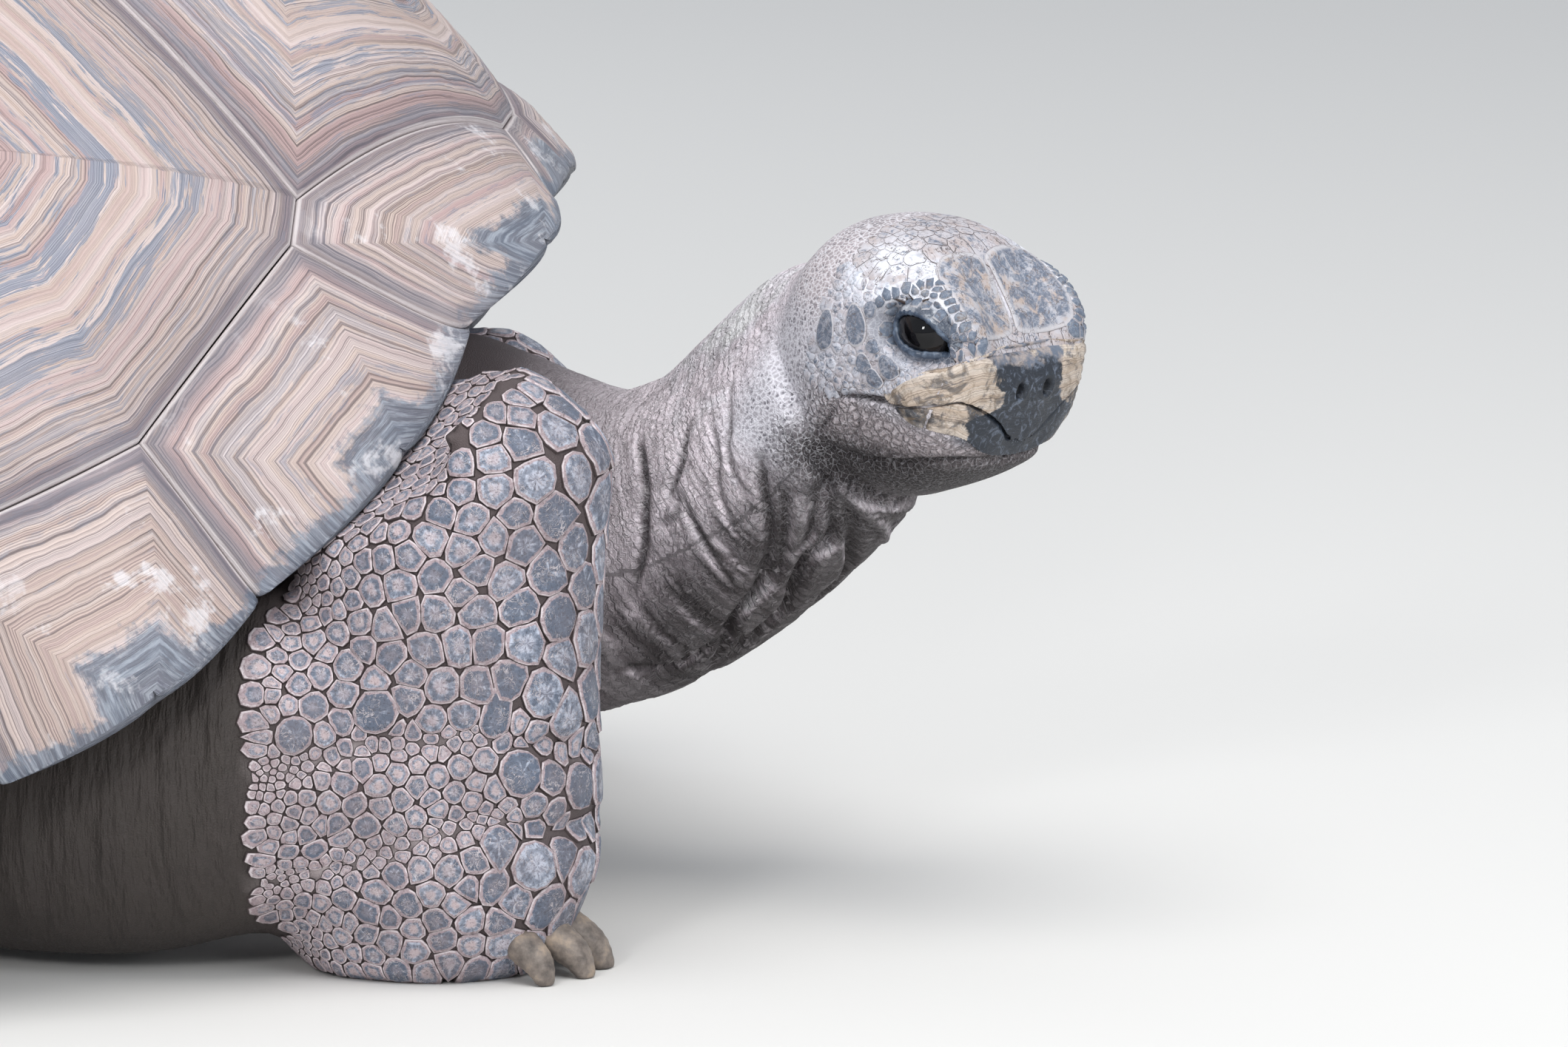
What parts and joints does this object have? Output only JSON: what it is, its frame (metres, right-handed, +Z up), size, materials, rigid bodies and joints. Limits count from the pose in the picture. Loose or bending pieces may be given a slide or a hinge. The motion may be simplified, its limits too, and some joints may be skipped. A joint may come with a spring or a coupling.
{
  "type": "giant tortoise",
  "caption": "Life-size giant tortoise lying on its belly, domed shell of grown horn plates, neck out, head turned aside, forefeet planted.",
  "frame": {"origin": "middle of the flat underside of the abdominal plates, on the floor the animal lies on", "axes": "+X forward along the shell, +Y to the animal's left, +Z up"},
  "size_m": [1.254, 0.762, 0.514],
  "materials": {
    "carapace": "weathered horn with growth rings",
    "plastron": "worn horn",
    "skin": "dry scaly skin",
    "head_skin": "pale dry scaly skin",
    "beak": "dark horn",
    "eye": "wet dark eye"
  },
  "bodies": {
    "root": {"costal_1_left": "carapace", "costal_1_right": "carapace", "costal_2_left": "carapace", "costal_2_right": "carapace", "costal_3_left": "carapace", "costal_3_right": "carapace", "costal_4_left": "carapace", "costal_4_right": "carapace", "marginal_10_left": "carapace", "marginal_10_right": "carapace", "marginal_11_left": "carapace", "marginal_11_right": "carapace", "marginal_1_left": "carapace", "marginal_1_right": "carapace", "marginal_2_left": "carapace", "marginal_2_right": "carapace", "marginal_3_left": "carapace", "marginal_3_right": "carapace", "marginal_4_left": "carapace", "marginal_4_right": "carapace", "marginal_5_left": "carapace", "marginal_5_right": "carapace", "marginal_6_left": "carapace", "marginal_6_right": "carapace", "marginal_7_left": "carapace", "marginal_7_right": "carapace", "marginal_8_left": "carapace", "marginal_8_right": "carapace", "marginal_9_left": "carapace", "marginal_9_right": "carapace", "nuchal": "carapace", "supracaudal": "carapace", "vertebral_1": "carapace", "vertebral_2": "carapace", "vertebral_3": "carapace", "vertebral_4": "carapace", "vertebral_5": "carapace", "gular_plates": "plastron", "humeral_plates": "plastron", "pectoral_plates": "plastron", "abdominal_plates": "plastron", "femoral_plates": "plastron", "anal_plates": "plastron", "trunk": "skin", "neck": "skin", "tail": "skin", "right_foreleg": "skin", "left_foreleg": "skin", "right_hind_leg": "skin", "left_hind_leg": "skin", "head": "head_skin", "lower_jaw": "head_skin", "upper_beak": "beak", "left_eye": "eye", "right_eye": "eye"}
  },
  "joints": []
}
